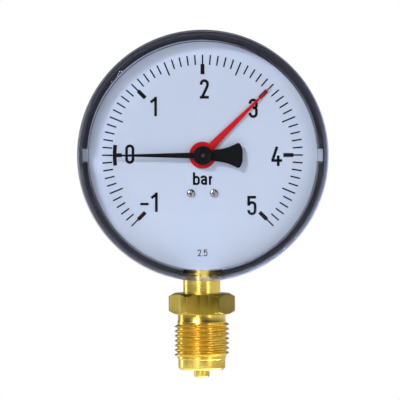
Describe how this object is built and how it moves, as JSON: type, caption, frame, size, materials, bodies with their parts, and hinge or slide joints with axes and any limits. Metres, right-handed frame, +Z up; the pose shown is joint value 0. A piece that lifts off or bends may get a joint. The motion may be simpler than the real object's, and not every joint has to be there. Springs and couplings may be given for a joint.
{
  "type": "pressure gauge",
  "caption": "Round dial pressure gauge with clear press-on window, black pointer, red set pointer and a threaded brass stem with hexagon below.",
  "frame": {"origin": "middle of the flat sealing face at the lower end of the G 1/2 B thread, on the stem's axis", "axes": "+Z up along the stem, +Y towards the back of the case, +X to the right of the dial; the dial faces -Y"},
  "size_m": [0.096, 0.0305, 0.1335],
  "materials": {
    "case_plastic": "black moulded plastic, fine satin",
    "window_clear": "clear moulded plastic, polished",
    "dial_white": "white lacquered aluminium with black print",
    "stem_brass": "machined brass",
    "tube_bronze": "drawn bronze",
    "movement_brass": "stamped brass",
    "steel_bright": "bright steel",
    "pointer_black": "black lacquer",
    "set_pointer_red": "red lacquer"
  },
  "bodies": {
    "housing": {"case": "case_plastic", "case_screw_1": "steel_bright", "case_screw_2": "steel_bright", "stem": "stem_brass", "dial": "dial_white", "dial_screw_1": "steel_bright", "dial_screw_2": "steel_bright", "dial_spacer_1": "movement_brass", "dial_spacer_2": "movement_brass", "socket_screw_1": "steel_bright", "socket_screw_2": "steel_bright", "movement_front_plate": "movement_brass", "movement_back_plate": "movement_brass", "movement_pillar_1": "movement_brass", "movement_pillar_2": "movement_brass", "movement_pillar_3": "movement_brass", "movement_screw_1": "steel_bright", "movement_screw_2": "steel_bright", "movement_screw_3": "steel_bright", "hairspring": "tube_bronze", "hairspring_stud": "movement_brass", "bourdon_tube": "tube_bronze", "set_pointer_bush": "movement_brass"},
    "cover": {"window": "window_clear"},
    "mark": {"set_pointer": "set_pointer_red"},
    "pointer": {"pointer": "pointer_black", "pointer_hub": "pointer_black", "pinion_shaft": "steel_bright", "hairspring_collet": "movement_brass"},
    "sector": {"sector_gear": "movement_brass", "sector_arbor": "steel_bright", "sector_link_pin": "steel_bright"},
    "link": {"link": "movement_brass"},
    "tube_tip": {"tube_end_piece": "movement_brass", "tip_link_pin": "steel_bright"}
  },
  "joints": [
    {"name": "cover_pull", "type": "slide", "parent": "housing", "child": "cover", "axis": [0, -1, 0], "range_m": [0, 0.03]},
    {"name": "mark_turn", "type": "hinge", "parent": "housing", "child": "mark", "pos_m": [0, -0.0091, 0.0825], "axis": [0, 1, 0], "range_deg": [-180, 90]},
    {"name": "sector_swing", "type": "hinge", "parent": "housing", "child": "sector", "pos_m": [0.01178, -0.0011, 0.06942], "axis": [0, 1, 0], "range_deg": [-22.5, 4.5], "stiffness_Nm_per_rad": 0.02},
    {"name": "pointer_turn", "type": "hinge", "parent": "housing", "child": "pointer", "pos_m": [0, -0.0114, 0.0825], "axis": [0, 1, 0], "range_deg": [-45, 225]},
    {"name": "tube_flex", "type": "hinge", "parent": "housing", "child": "tube_tip", "pos_m": [-0.00389, -0.0011, 0.09006], "axis": [0, 1, 0], "range_deg": [-4.24, 0.85], "deforming": ["bourdon_tube"]},
    {"name": "link_turn", "type": "hinge", "parent": "sector", "child": "link", "pos_m": [0.01587, -0.0023, 0.06655], "axis": [0, 1, 0], "range_deg": [-4.86, 24.27]}
  ],
  "couplings": [
    {"joint": "pointer_turn", "follows": "sector_swing", "ratio": -10},
    {"joint": "tube_flex", "follows": "sector_swing", "ratio": 0.1883},
    {"joint": "link_turn", "follows": "sector_swing", "ratio": -1.0784}
  ]
}
